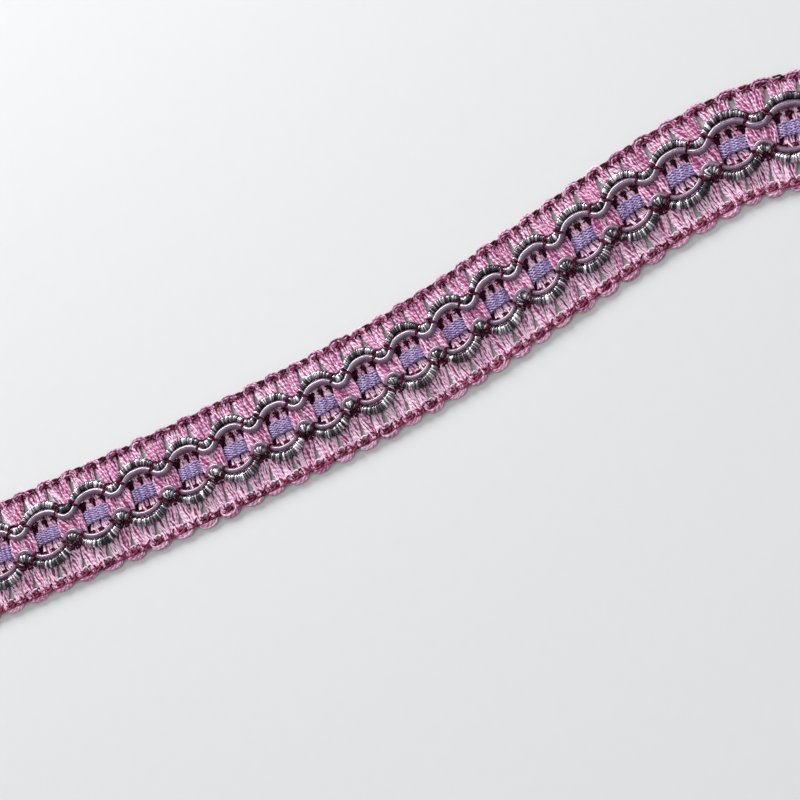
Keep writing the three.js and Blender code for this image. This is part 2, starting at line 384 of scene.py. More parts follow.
def smooth_path(rows, steps):
    """A smooth path through the rows of a table, at even steps of its own length."""
    rows = np.array(rows, float)
    places = rows[:, :3] * (USUAL_PITCH, 1, 1)
    marks = run_along(places)
    at = np.linspace(0, marks[-1], steps)
    return np.stack([smooth(at, marks, rows[:, i]) for i in range(rows.shape[1])], axis=-1)


def mirrored(half):
    """A half shape from its foot to its tip, carried on down its other side."""
    return list(half) + [(-row[0], *row[1:]) for row in half[-2::-1]]


def wave(repeat, rows, column):
    """A table of half a wave, mirrored and repeated along the strip."""
    phase = np.abs((repeat + 0.5) % 1.0 - 0.5)
    columns = row_columns(rows)
    marks = np.r_[-columns[0][1], columns[0], 1 - columns[0][-2]]
    values = np.r_[columns[column][1], columns[column], columns[column][-2]]
    return smooth(phase, marks, values)


def wander(rng, shape, at, longest, count=3):
    """Soft random drift along each of many yarns, from about -1 to 1."""
    total = np.zeros(shape)
    for octave in range(count):
        start = rng.uniform(0, 2 * math.pi, (shape[0], 1))
        rate = rng.uniform(0.7, 1.3, (shape[0], 1)) * 2 * math.pi / (longest / 2**octave)
        total += np.sin(start + rate * at) / 1.6**octave
    return total / 2


def drift(rng, shape, at, kind):
    amount, longest = DRIFTS[kind]
    return amount * wander(rng, shape, at, longest)


def tones(rng, kind, shape):
    middle, spread = TONES[kind]
    return rng.normal(middle, spread, shape)


def even_repeats(steps, inset=CORD_START):
    """Repeats at even distances from one end of the strip to the other."""
    return np.interp(np.linspace(inset, STRIP_LENGTH - inset, steps), DISTANCES, REPEATS)


def run_along(path):
    return np.r_[0, np.linalg.norm(np.diff(path, axis=0), axis=1).cumsum()]


def whole_turn(sides):
    return np.arange(sides) * 2 * math.pi / sides


# Yarn surfaces

class Skein:
    """Gathers the surfaces of many yarns and makes one mesh of them."""

    def __init__(self):
        self.points, self.faces, self.sizes, self.runs, self.tones = [], [], [], [], []
        self.count = 0

    def add(self, paths, radius, sides, tone=0.5, closed=False):
        """Round yarns along paths (yarns, steps, 3), in metres.

        The radius and the tone may vary over the yarns, their steps and their sides.
        """
        yarns, steps, _ = paths.shape
        across, upward = carried_frames(along_paths(paths, closed))
        turn = whole_turn(sides)
        ring = np.cos(turn)[:, None] * across[:, :, None]
        ring = ring + np.sin(turn)[:, None] * upward[:, :, None]
        points = paths[:, :, None] + ring * over_yarns(radius)[..., None]
        number = self.count + np.arange(yarns * steps * sides).reshape(yarns, steps, sides)
        beside = np.roll(number, -1, axis=2)
        if closed:
            next_number, next_beside = np.roll(number, -1, axis=1), np.roll(beside, -1, axis=1)
        else:
            next_number, next_beside = number[:, 1:], beside[:, 1:]
            number, beside = number[:, :-1], beside[:, :-1]
        quads = np.stack([number, beside, next_beside, next_number], axis=-1).reshape(-1, 4)
        run = np.linalg.norm(np.diff(paths, axis=1), axis=2).cumsum(axis=1) / MM
        start = (np.arange(yarns)[:, None] * GOLDEN) % 1 * LONGEST_START
        self.keep_runs(np.concatenate([start, start + run], axis=1), sides, closed)
        self.faces.append(quads.ravel())
        self.sizes.append(np.full(len(quads), 4))
        if not closed:
            self.cap(yarns, steps, sides)
        self.points.append(points.reshape(-1, 3))
        self.tones.append(np.broadcast_to(over_yarns(tone), (yarns, steps, sides)).ravel())
        self.count += yarns * steps * sides

    def keep_runs(self, run, sides, closed):
        """Each corner's distance along its yarn and turn round it, as the pair of a UV map."""
        after = np.roll(run, -1, axis=1) if closed else run[:, 1:]
        before = run if closed else run[:, :-1]
        low = np.arange(sides) / sides
        high = low + 1 / sides
        corners = [(before, low), (before, high), (after, high), (after, low)]
        pairs = []
        for at, turn in corners:
            u, v = np.broadcast_arrays(at[:, :, None], turn)
            pairs.append(np.stack([u, v], axis=-1))
        self.runs.append(np.stack(pairs, axis=3).reshape(-1, 2))

    def cap(self, yarns, steps, sides):
        grid = self.count + np.arange(yarns * steps * sides).reshape(yarns, steps, sides)
        for ring in (grid[:, 0, ::-1], grid[:, -1]):
            self.faces.append(ring.ravel())
            self.sizes.append(np.full(yarns, sides))
            self.runs.append(np.zeros((yarns * sides, 2)))

    def make(self, name, material):
        """The mesh of all that was gathered, as one piece that rides on the braid."""
        points = np.concatenate(self.points)
        corners = np.concatenate(self.faces)
        sizes = np.concatenate(self.sizes)
        mesh = bpy.data.meshes.new(name)
        mesh.vertices.add(len(points))
        mesh.vertices.foreach_set("co", points.astype(np.float32).ravel())
        mesh.loops.add(len(corners))
        mesh.loops.foreach_set("vertex_index", corners.astype(np.int32))
        mesh.polygons.add(len(sizes))
        starts = np.r_[0, np.cumsum(sizes)[:-1]].astype(np.int32)
        mesh.polygons.foreach_set("loop_start", starts)
        mesh.polygons.foreach_set("use_smooth", np.ones(len(sizes), bool))
        mesh.update(calc_edges=True)
        yarn_map = mesh.uv_layers.new(name="yarn")
        yarn_map.data.foreach_set("uv", np.concatenate(self.runs).astype(np.float32).ravel())
        tone = mesh.attributes.new("tone", "FLOAT", "POINT")
        tone.data.foreach_set("value", np.concatenate(self.tones).astype(np.float32))
        mesh.validate()
        mesh.materials.append(material)
        piece = bpy.data.objects.new(name, mesh)
        bpy.context.scene.collection.objects.link(piece)
        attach(piece, "root")
        return piece


def over_yarns(values):
    """Values given for each yarn, or for its steps too, made ready for its sides."""
    values = np.asarray(values, float)
    while values.ndim < 3:
        values = values[..., None]
    return values


def unit(vectors):
    return vectors / np.maximum(np.linalg.norm(vectors, axis=-1, keepdims=True), 1e-12)


def along_paths(paths, closed):
    if closed:
        return unit(np.roll(paths, -1, axis=1) - np.roll(paths, 1, axis=1))
    return unit(np.gradient(paths, axis=1))


def carried_frames(ahead):
    """Two directions square to each path, carried along it without twisting."""
    current = np.where(np.abs(ahead[:, 0, 2:]) > 0.9, (1.0, 0.0, 0.0), (0.0, 0.0, 1.0))
    upward = np.empty_like(ahead)
    for i in range(ahead.shape[1]):
        current = unit(current - (current * ahead[:, i]).sum(axis=1, keepdims=True) * ahead[:, i])
        upward[:, i] = current
    return np.cross(upward, ahead), upward


# Materials

class Finish:
    """A procedural material with a few helpers for its nodes."""

    def __init__(self, name):
        self.material = bpy.data.materials.new(name)
        self.material.use_nodes = True
        self.tree = self.material.node_tree
        self.shader = self.tree.nodes["Principled BSDF"]

    def node(self, kind, **settings):
        node = self.tree.nodes.new(kind)
        for name, value in settings.items():
            setattr(node, name, value)
        return node

    def set(self, values):
        for name, value in values.items():
            self.shader.inputs[name].default_value = value

    def link(self, output, target):
        self.tree.links.new(output, target)

    def yarn_coordinates(self, stretch):
        """Distance along the yarn and turn round it, scaled apart."""
        pair = self.node("ShaderNodeUVMap", uv_map="yarn")
        mapping = self.node("ShaderNodeMapping")
        mapping.inputs["Scale"].default_value = stretch
        self.link(pair.outputs["UV"], mapping.inputs["Vector"])
        return mapping.outputs["Vector"]

    def noise(self, vector, scale, detail=2.0):
        noise = self.node("ShaderNodeTexNoise")
        noise.inputs["Scale"].default_value = scale
        noise.inputs["Detail"].default_value = detail
        self.link(vector, noise.inputs["Vector"])
        return noise.outputs["Fac"]

    def patches(self, scale):
        return self.noise(self.node("ShaderNodeTexCoord").outputs["Object"], scale)

    def tone(self):
        return self.node("ShaderNodeAttribute", attribute_name="tone").outputs["Fac"]

    def blend(self, factor, colours):
        """Even steps through two or more colours as factor goes from 0 to 1."""
        ramp = self.node("ShaderNodeValToRGB")
        stops = ramp.color_ramp.elements
        while len(stops) < len(colours):
            stops.new(0.5)
        for i, shade in enumerate(colours):
            stops[i].position = i / (len(colours) - 1)
            stops[i].color = (*shade, 1)
        self.link(factor, ramp.inputs["Fac"])
        return ramp.outputs["Color"]

    def sum(self, a, b, share):
        """a plus share times what b departs from a half."""
        maths = self.node("ShaderNodeMath", operation="MULTIPLY_ADD")
        maths.inputs[1].default_value = share
        self.link(b, maths.inputs[0])
        self.link(a, maths.inputs[2])
        shift = self.node("ShaderNodeMath", operation="SUBTRACT")
        shift.inputs[1].default_value = share / 2
        self.link(maths.outputs[0], shift.inputs[0])
        return shift.outputs[0]

    def colour(self, output):
        self.link(output, self.shader.inputs["Base Color"])

    def bump(self, height, distance, strength):
        bump = self.node("ShaderNodeBump")
        bump.inputs["Strength"].default_value = strength
        bump.inputs["Distance"].default_value = distance
        self.link(height, bump.inputs["Height"])
        self.link(bump.outputs["Normal"], self.shader.inputs["Normal"])


def shade(colour, share):
    return tuple(min(1.0, c * share) for c in colour)


def floss_finish(name, colours, roughness=0.4, sheen=0.2, specular=0.35):
    """Lustrous filament yarn: fine lines along it, with each yarn a little lighter or darker; the bands
    of its twist are painted into the colour as glints and shade.
    """
    finish = Finish(name)
    filaments = finish.noise(finish.yarn_coordinates((0.5, 7.0, 1.0)), 1.6, 3.0)
    twist = finish.node("ShaderNodeTexWave", wave_type="BANDS", bands_direction="DIAGONAL")
    twist.inputs["Scale"].default_value = TWIST_SCALE / TWIST_PITCH
    finish.link(finish.yarn_coordinates((1.0, TWIST_PITCH, 0.0)), twist.inputs["Vector"])
    stretches = finish.noise(finish.yarn_coordinates((0.9, 1.0, 1.0)), 1.1, 1.0)
    patches = finish.patches(330.0)
    mixed = finish.sum(finish.sum(finish.tone(), filaments, 0.7), stretches, 0.5)
    # Painted glints and shade: the bands of the twist lighten and darken the colour.
    mixed = finish.sum(mixed, twist.outputs["Fac"], 0.5)
    finish.colour(finish.blend(finish.sum(mixed, patches, 0.5), colours))
    finish.bump(finish.sum(twist.outputs["Fac"], filaments, 0.8), 0.00006, 0.9)
    finish.set({"Roughness": roughness, "Specular IOR Level": specular})
    finish.set({"Sheen Weight": sheen, "Sheen Roughness": 0.4})
    return finish.material


def satin_finish(name, colour):
    """Smooth satin wrap: very fine turns round the cord under a soft gloss."""
    finish = Finish(name)
    turns = finish.node("ShaderNodeTexWave", wave_type="BANDS", bands_direction="X")
    finish.link(finish.yarn_coordinates((1.0, 0.12, 1.0)), turns.inputs["Vector"])
    turns.inputs["Scale"].default_value = 1.75
    turns.inputs["Distortion"].default_value = 0.6
    streaks = finish.noise(finish.yarn_coordinates((3.5, 0.8, 1.0)), 1.5, 2.0)
    mixed = finish.sum(streaks, turns.outputs["Fac"], 0.35)
    mixed = finish.sum(mixed, finish.patches(180.0), 0.5)
    finish.colour(finish.blend(mixed, (shade(colour, 0.5), colour, shade(colour, 1.5))))
    finish.bump(turns.outputs["Fac"], 0.000012, 0.4)
    finish.set({"Roughness": 0.22, "Specular IOR Level": 1.0})
    return finish.material


def foil_finish(name, colour):
    """Metallised film wound round a core: dark metal that glints turn by turn."""
    finish = Finish(name)
    fine = finish.noise(finish.yarn_coordinates((7.0, 7.0, 1.0)), 1.0, 2.0)
    mixed = finish.sum(finish.tone(), fine, 0.6)
    finish.colour(finish.blend(mixed, (shade(colour, 0.15), colour, shade(colour, 3.8))))
    rough = finish.node("ShaderNodeMapRange")
    rough.inputs["To Min"].default_value = 0.16
    rough.inputs["To Max"].default_value = 0.38
    finish.link(fine, rough.inputs["Value"])
    finish.link(rough.outputs["Result"], finish.shader.inputs["Roughness"])
    finish.bump(fine, 0.00009, 0.8)
    finish.set({"Metallic": 1.0})
    return finish.material


# Sizes and colours that a user would change

def length(label, about, default):
    return FloatProperty(name=label, description=about, default=default, unit="LENGTH", precision=5)


def colour(label, about, default):
    return FloatVectorProperty(
        name=label, description=about, default=default, subtype="COLOR", min=0.0, max=1.0
    )


def power(label, about, default):
    return FloatProperty(name=label, description=about, default=default, unit="POWER")


def angle(label, about, degrees):
    turned = math.radians(degrees)
    return FloatProperty(name=label, description=about, default=turned, subtype="ANGLE")


class BraidSizes(bpy.types.PropertyGroup):
    floss: length("Floss", "Diameter of one strand of the ground's legs", 0.00034)
    picot_yarn: length("Picot yarn", "Diameter of one strand of a picot loop", 0.00034)
    tape_ply: length("Tape ply", "Diameter of one ply of the tape's yarns", 0.00027)
    satin: length("Satin gimp", "Diameter of the satin gimp cord", 0.00095)
    metallic: length("Metallic gimp", "Diameter of the metallic gimp cord over its turns", 0.00144)
    foil_pitch: length("Foil pitch", "Distance from one turn of the foil to the next", 0.00043)
    chain: length("Chain thread", "Diameter of the thread of the edge chains", 0.00036)
    tie: length("Tie thread", "Diameter of the thread that ties the cords down", 0.00033)
    strands: IntProperty(name="Strands", description="Strands round one leg", default=14, min=3, max=16)
    seed: IntProperty(name="Seed", description="Start of the random drift of the yarns", default=7)


class BraidColours(bpy.types.PropertyGroup):
    # The dark end of the ground yarn is partly painted shade in its folds.
    pink_dark_and_shade: colour("Ground yarn, dark", "Plum in the folds of the ground yarn", (0.21, 0.030, 0.115))
    pink: colour("Ground yarn", "Orchid pink of the ground yarn", (0.62, 0.250, 0.445))
    # The pale end of the ground yarn is partly painted highlight, paler as a sheen would make it.
    pink_light_and_highlight: colour("Ground yarn, light", "Pale pink of its brightest strands", (0.95, 0.70, 0.85))
    # Painted shade: the core's colour stands for the shade between a leg's strands.
    core: colour("Ground core", "Dark pink between the strands", (0.200, 0.040, 0.105))
    # The darkest stitch colour is partly painted shade, and wholly so in the threads under the links.
    plum_dark_and_shade: colour("Stitch thread, dark", "Darkest plum of the stitches", (0.030, 0.002, 0.009))
    plum: colour("Stitch thread", "Plum of the chain and tie stitches", (0.110, 0.008, 0.032))
    # The rose end is partly painted highlight on the threads.
    plum_light_and_highlight: colour("Stitch thread, light", "Rose of their brightest threads", (0.34, 0.06, 0.13))
    # The darkest tape colour is partly painted shade: the bed and the gaps between the yarns.
    lilac_dark_and_shade: colour("Tape, dark", "Purple between the tape's yarns", (0.035, 0.012, 0.075))
    lilac: colour("Tape", "Lilac of the centre tape", (0.285, 0.190, 0.430))
    # The palest tape colour is partly painted highlight on the plies.
    lilac_light_and_highlight: colour("Tape, light", "Palest lilac of its yarns", (0.66, 0.54, 0.82))
    mauve: colour("Satin gimp", "Mauve of the satin cords", (0.160, 0.088, 0.150))
    gunmetal: colour("Metallic gimp", "Gunmetal of the foil", (0.265, 0.248, 0.268))
    surface: colour("Surface", "Pale table top", (0.585, 0.59, 0.59))


class StageSettings(bpy.types.PropertyGroup):
    elevation: angle("Elevation", "Camera's height above the surface, as an angle", 60)
    roll: angle("Roll", "Turn of the camera about its own axis", 53)
    turn: angle("Turn", "Direction that the camera looks, from the strip's +Y", 28.42)
    distance: length("Distance", "From the camera to the surface at the middle of the view", 0.3715)
    lens: FloatProperty(
        name="Lens", description="Focal length on a 36 mm sensor", default=108.0, unit="CAMERA"
    )
    look_along: length("Look along", "Middle of the view, along the strip's course", 0.00113)
    look_side: length("Look side", "Middle of the view, across the strip's course", -0.00812)
    key: power("Key", "Power of the key light", 21.5)
    overhead: power("Overhead", "Power of the overhead light", 9.2)
    front: power("Front", "Power of the weak front light", 1.3)
    sky: FloatProperty(name="Sky", description="Strength of the even light all round", default=0.36)


def sizes():
    return bpy.context.scene.braid_sizes


def colours():
    return bpy.context.scene.braid_colours


# The ground: legs, picot loops and their small inner arcs

def leg_places(over):
    """The joint that each leg stands beside, and the side of it that the leg is on."""
    first, last = math.ceil(FIRST_REPEAT * 2), math.floor(LAST_REPEAT * 2)
    places = []
    for half in range(first, last + 1):
        if (half % 2 == 0) != over:
            continue
        for side in (-1, 1):
            if FIRST_REPEAT < half / 2 + side / 8 < LAST_REPEAT:
                places.append((half / 2, side))
    return np.array(places, float)


def stretched(repeat):
    """How much wider than usual the pattern is drawn at a repeat."""
    return pitch_at(repeat) / TABLE_PITCH


def leg_shape(out, over):
    marks, *columns = row_columns(LEG_ROWS)
    gap, width, rise = (columns[i + (0 if over else 1)] for i in (0, 2, 4))
    return [smooth(out, marks, column) for column in (gap, width, rise, columns[6])]


def along_leg(steps, past=0.0):
    return np.linspace(LEG_ROWS[0][0] - past, LEG_ROWS[-1][0] + past, steps)


def strand_paths(places, over, strands, rng, steps):
    """Paths of the strands that wind gently round each leg."""
    radius = sizes().floss / MM / 2
    out = along_leg(steps)
    gap, width, rise, depth = leg_shape(out, over)
    joint, side = (np.repeat(places[:, i], strands)[:, None] for i in range(2))
    count = len(joint)
    start = np.tile(whole_turn(strands), len(places))[:, None]
    leg_start = np.repeat(rng.uniform(0, 2 * math.pi, len(places)), strands)[:, None]
    leg_lay = np.repeat(rng.uniform(*LEG_LAY, len(places)), strands)[:, None]
    angle = start + leg_start + 2 * math.pi * out / leg_lay
    angle = angle + drift(rng, (count, steps), out, "strand angle")
    reach = 1 + drift(rng, (count, steps), out, "strand reach")
    middle = joint + side * gap
    half_width = width / 2 * stretched(middle) - radius
    aside = half_width * reach * np.cos(angle) + drift(rng, (count, steps), out, "strand side")
    leg_drift = np.repeat(drift(rng, (len(places), steps), out, "leg side"), strands, axis=0)
    above = (depth / 2 - radius) * reach * np.sin(angle)
    repeat = middle + (aside + leg_drift) / pitch_at(middle)
    height = np.maximum(rise + above, radius)
    return lay_ground(repeat, out + 0 * repeat, height)


def core_paths(places, over, steps):
    """The middle, width and depth of each leg's dark core, whose colour is painted shade."""
    out = along_leg(steps, 0.1)
    gap, width, rise, depth = leg_shape(out, over)
    joint, side = (places[:, i][:, None] for i in range(2))
    middle = joint + side * gap
    paths = lay_ground(middle, out + 0 * joint, rise + 0 * joint)
    return paths, width * stretched(middle), depth + 0 * joint


def oval_radius(width, depth, sides):
    """An oval section: wide across the leg, flatter above and below."""
    turn = whole_turn(sides)
    half_width, half_depth = width[..., None] / 2, depth[..., None] / 2
    return half_width * half_depth / np.hypot(half_depth * np.cos(turn), half_width * np.sin(turn))


def loop_places(side):
    """Middles of the picot loops of one edge, in repeats."""
    start = 0.0 if side < 0 else 0.25
    count = int((LAST_REPEAT - FIRST_REPEAT) * 2) + 2
    middles = math.floor(FIRST_REPEAT) + start + np.arange(count) / 2
    reach = 0.17
    return middles[(middles > FIRST_REPEAT + reach) & (middles < LAST_REPEAT - reach)]


def loop_paths(half, side, rng, steps, strands):
    """Strands that run together round each loop of one edge."""
    middles = loop_places(side)[:, None, None]
    path = smooth_path(mirrored(half), steps)
    plan = path[:, :2] * (USUAL_PITCH, 1)
    ahead = unit(np.gradient(plan, axis=0))
    count = len(middles)
    swing = np.linspace(-LOOP_SWING, LOOP_SWING, steps)
    swing = rng.uniform(0, 2 * math.pi, (count, 1, 1)) + swing
    angle = swing + whole_turn(strands)[:, None]
    reach = path[:, 3] * rng.uniform(*LOOP_SPREAD, (count, strands, 1))
    outward = reach * np.cos(angle)
    aside = plan[:, 0] - ahead[:, 1] * outward
    foot = half[0][1]
    grow = np.clip(rng.normal(1, LOOP_GROWTH, (count, 1, 1)), LEAST_LOOP, LARGEST_LOOP)
    out = foot + (plan[:, 1] + ahead[:, 0] * outward - foot) * grow
    sway = rng.normal(0, LOOP_SWAY, (count, 1, 1)) * np.sin(np.linspace(0, math.pi, steps))
    height = np.maximum(path[:, 2] + reach * np.sin(angle), LOOP_LOWEST)
    paths = lay(middles + aside / USUAL_PITCH + sway - EDGE_LAG, side * out, height)
    return paths.reshape(-1, steps, 3)


class BRAID_OT_ground(bpy.types.Operator):
    """Make the looped ground: the legs with their strands, and the picots"""
    bl_idname = "braid.ground"
    bl_label = "Looped ground"

    def execute(self, context):
        s, c = sizes(), colours()
        rng = np.random.default_rng(s.seed)
        core = Skein()
        for over in (True, False):
            paths, width, depth = core_paths(leg_places(over), over, steps=21)
            radius = oval_radius(width * CORE_SHARE, depth * CORE_SHARE, sides=8)
            core.add(paths, radius * MM, sides=8, tone=0.6)
        for side in (-1, 1):
            for out, height in CORE_WARPS:
                paths = laid_thread(side, out, height, rng)
                # The warps take the darkest core tone: painted shade under the legs.
                core.add(paths, WARP_RADIUS * MM, sides=6, tone=-0.1)
        # The cores are drawn dark: painted shade between the strands.
        core_shades = shade(c.core, 0.25), c.core, shade(c.core, 2.0)
        painted_shade_core = floss_finish("ground_core", core_shades, roughness=0.7, sheen=0.0, specular=0.1)
        ground = core.make("ground_core", painted_shade_core)
        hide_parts("ground_braid")
        # The ramp runs from painted shade through the yarn's pink to painted highlight.
        floss = floss_finish("ground_floss", (c.pink_dark_and_shade, c.pink, c.pink_light_and_highlight))
        parts = []
        steps = 31
        out = along_leg(steps)
        # Painted light: the lower half of each leg gets lighter outwards.
        lighter = LOWER_PAINTED_LIGHT * np.clip(-out / PAINTED_LIGHT_WHOLE, 0, 1)
        for name, over in (("floss_over_tape", True), ("floss_under_tape", False)):
            skein = Skein()
            paths = strand_paths(leg_places(over), over, s.strands, rng, steps)
            # Legs under the tape get a lighter tone than those over it: painted light.
            tone = tones(rng, name, (len(paths), 1))
            skein.add(paths, s.floss / 2, sides=5, tone=tone + lighter)
            parts.append(skein.make(name, floss))
        picots = Skein()
        for half, side, kind in ((PICOT_LOWER, -1, "lower picot"), (PICOT_UPPER, 1, "upper picot")):
            paths = loop_paths(half, side, rng, steps=21, strands=6)
            picots.add(paths, s.picot_yarn / 2, sides=5, tone=tones(rng, kind, len(paths)))
        arcs = loop_paths(ARC_HALF, -1, rng, steps=13, strands=1)
        picots.add(arcs, s.picot_yarn * 0.42, sides=6, tone=tones(rng, "inner arc", len(arcs)))
        parts.append(picots.make("picot_loops", floss))
        for part in parts:
            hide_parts("ground_braid")
        return {"FINISHED"}


# The centre tape

def twisted(middle, plies, pitch, spread, offset):
    """Plies that wind round one thread's middle path, given as (steps, 3) in metres."""
    across, upward = carried_frames(along_paths(middle[None], False))
    run = run_along(middle)
    paths = []
    for ply in range(plies):
        angle = 2 * math.pi * (run / pitch + ply / plies) + offset
        around = np.cos(angle)[:, None] * across[0] + np.sin(angle)[:, None] * upward[0]
        paths.append(middle + spread * around)
    return np.array(paths)


class BRAID_OT_tape(bpy.types.Operator):
    """Make the centre tape of plied yarns that lie side by side"""
    bl_idname = "braid.tape"
    bl_label = "Centre tape"

    def execute(self, context):
        s, c = sizes(), colours()
        rng = np.random.default_rng(s.seed + 1)
        steps = int(STRIP_LENGTH / TAPE_STEP)
        repeat = even_repeats(steps)
        height = wave(repeat, TAPE_WAVE, 1)
        tape = Skein()
        shared = drift(rng, (1, steps), repeat, "tape twist")[0]
        for yarn in range(TAPE_YARNS):
            out = (yarn - (TAPE_YARNS - 1) / 2) * TAPE_SPACING
            aside = drift(rng, (1, steps), repeat, "tape side")[0]
            bob = drift(rng, (1, steps), repeat, "tape height")[0]
            middle = lay_ground(repeat, out + aside, height + bob)
            offset = shared + drift(rng, (1, steps), repeat, "ply twist")[0] + 0.25 * yarn
            paths = twisted(middle, 2, TAPE_TURN * MM, s.tape_ply * PLY_SPREAD, offset)
            tape.add(paths, s.tape_ply / 2, sides=6, tone=tones(rng, "tape ply", len(paths)))
        # Painted shade: a dark bed under the yarns darkens the gaps between them.
        painted_shade_bed = lay_ground(repeat, 0 * repeat, height - TAPE_BED_DROP)
        bed_size = np.full(steps, TAPE_BED_WIDTH), np.full(steps, TAPE_BED_DEPTH)
        tape.add(painted_shade_bed[None], oval_radius(*bed_size, sides=8)[None] * MM, sides=8, tone=-0.6)
        finish = floss_finish("tape_yarn", (c.lilac_dark_and_shade, c.lilac, c.lilac_light_and_highlight), sheen=0.15)
        piece = tape.make("tape_threads", finish)
        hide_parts("centre_tape")
        return {"FINISHED"}


# The two pairs of cords

def cord_lag(side):
    return LOWER_CORD_LAG if side < 0 else 0.0


def cord_path(rows, side, step, rng):
    """Repeats, distances and points along one cord, each wave a little unlike the next."""
    steps = int(STRIP_LENGTH * 4 / step)
    repeat = even_repeats(steps)
    out = wave(repeat, rows, 1) + drift(rng, (1, steps), repeat, "cord side")[0]
    points = lay(repeat - cord_lag(side), side * out, wave(repeat, rows, 2))
    run = run_along(points)
    at = np.linspace(0, run[-1], int(run[-1] / (step * MM)))
    even = np.stack([np.interp(at, run, points[:, i]) for i in range(3)], axis=-1)
    return np.interp(at, run, repeat), at, even


class BRAID_OT_satin(bpy.types.Operator):
    """Make the two satin gimp cords"""
    bl_idname = "braid.satin"
    bl_label = "Satin gimps"

    def execute(self, context):
        s, c = sizes(), colours()
        finish = satin_finish("satin_gimp", c.mauve)
        for name, side in (("upper", 1), ("lower", -1)):
            rng = np.random.default_rng(s.seed + 10 + side)
            repeat, run, path = cord_path(SATIN_WAVE, side, 0.2, rng)
            swell = 1 + drift(rng, (1, len(run)), run, "satin swell")[0]
            cord = Skein()
            thick = wave(repeat, SATIN_WAVE, 3) * swell * s.satin / 2
            thick = thick * (1 + SATIN_DIFFERENCE * side)
            cord.add(path[None], thick[None], sides=14)
            piece = cord.make(f"satin_cord_{name}", finish)
            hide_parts(f"satin_gimp_{name}")
        return {"FINISHED"}


class BRAID_OT_metallic(bpy.types.Operator):
    """Make the two metallic gimp cords with every turn of their foil"""
    bl_idname = "braid.metallic"
    bl_label = "Metallic gimps"

    def execute(self, context):
        s, c = sizes(), colours()
        finish = foil_finish("metallic_gimp", c.gunmetal)
        sides = 14
        turn = np.arange(sides) / sides
        for name, side in (("upper", 1), ("lower", -1)):
            rng = np.random.default_rng(s.seed + 20 + side)
            repeat, run, path = cord_path(METALLIC_WAVE, side, 0.075, rng)
            slip = drift(rng, (1, len(run)), run, "foil slip")[0]
            winding = (run / s.foil_pitch + slip)[:, None] + turn
            number = np.floor(winding).astype(int)
            share = winding - number
            turns = number.max() + 2
            bulge = np.sin(math.pi * share)
            slope = rng.uniform(-FOIL_LEAN, FOIL_LEAN, turns)[number] * (share - 0.5)
            ridge = bulge**0.7 * rng.uniform(FOIL_LEAST, 1.0, turns)[number] + slope * bulge
            thick = wave(repeat, METALLIC_WAVE, 3)[:, None] * s.metallic / 2
            thick = thick * (1 - METALLIC_DIFFERENCE * side) * (1 - FOIL_CREST + FOIL_CREST * ridge)
            tone = np.clip(tones(rng, "foil turn", turns), 0, 1)[number]
            # Painted shade: the grooves between the turns are darker.
            tone = tone - FOIL_GROOVE_SHADE * (1 - bulge)
            cord = Skein()
            cord.add(path[None], thick[None], sides, tone[None])
            piece = cord.make(f"metallic_cord_{name}", finish)
            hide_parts(f"metallic_gimp_{name}")
        return {"FINISHED"}


# Stitches

def spaced(per_repeat, fewer=0):
    """Middles of stitches at even spaces along the strip, in repeats."""
    first = math.ceil(FIRST_REPEAT * per_repeat) + 0.5
    count = int((LAST_REPEAT - FIRST_REPEAT) * per_repeat) - fewer
    return (first + np.arange(count)) / per_repeat


def chain_links(side, links, rng):
    """The closed loops of a chain stitch along the strip, each through the one before."""
    per_repeat, out, height, half_length, half_width = links
    middles = spaced(per_repeat, 1)
    count = len(middles)
    turn = np.linspace(0, 2 * math.pi, 16, endpoint=False)
    aside = half_length * np.cos(turn)
    across = half_width * np.sin(turn) * (1 + LINK_HEAD * np.cos(turn))
    lift = LINK_RISE * np.cos(turn) + LINK_DIP * np.cos(2 * turn)
    repeat = middles[:, None] + aside / USUAL_PITCH
    askew = rng.normal(0, LINK_TURN, (count, 1)) * aside + rng.normal(0, LINK_STRAY, (count, 1))
    return lay_ground(repeat, side * (out + across + askew), height + lift + 0 * repeat)


def laid_thread(side, out, height, rng, steps_a_mm=1.5):
    """One thread that runs straight along the strip."""
    steps = int(STRIP_LENGTH * steps_a_mm)
    repeat = even_repeats(steps, 0.05)
    sway = drift(rng, (1, steps), repeat, "laid side")[0]
    return lay_ground(repeat, side * (out + sway), height + 0 * repeat)[None]


def foot_stitches(side, rng):
    """Short slanting stitches over the feet of the legs, just inside the chain."""
    middles = spaced(FEET_A_REPEAT)
    count = len(middles)
    middles = middles + rng.normal(0, 0.012, count)
    lean = np.where(np.arange(count) % 2, 1, -1)[:, None] * rng.uniform(0.4, 1.2, (count, 1))
    t = np.linspace(-1, 1, 7)
    repeat = middles[:, None] + FOOT_HALF * t * lean
    height = FOOT_HEIGHT + FOOT_RISE * (1 - t**2) + rng.normal(0, 0.05, (count, 1))
    out = FOOT_OUT + rng.normal(0, 0.10, (count, 1)) + FOOT_REACH * t
    return lay_ground(repeat, side * out, height)


def whole_repeats(side):
    """The middles of the dips of one pair of cords, in repeats."""
    wholes = np.arange(math.ceil(FIRST_REPEAT), math.floor(LAST_REPEAT) + 1)
    return wholes[:, None] - cord_lag(side)


def tie_paths(side, at, rng):
    """Threads that cross over both cords between an arch and a dip."""
    repeats = whole_repeats(side)
    t = np.linspace(0, 1, 17)
    marks, asides, outs = row_columns(TIE_COURSE)
    aside, out = smooth(t, marks, asides), smooth(t, marks, outs)
    height = smooth(t, *row_columns(TIE_HEIGHTS))
    paths = []
    for hand in (-1, 1):
        sway = rng.normal(0, 0.008, (len(repeats), 1))
        repeat = repeats + hand * (aside + at / USUAL_PITCH) + sway
        paths.append(lay(repeat, side * out, height))
    return np.concatenate(paths)


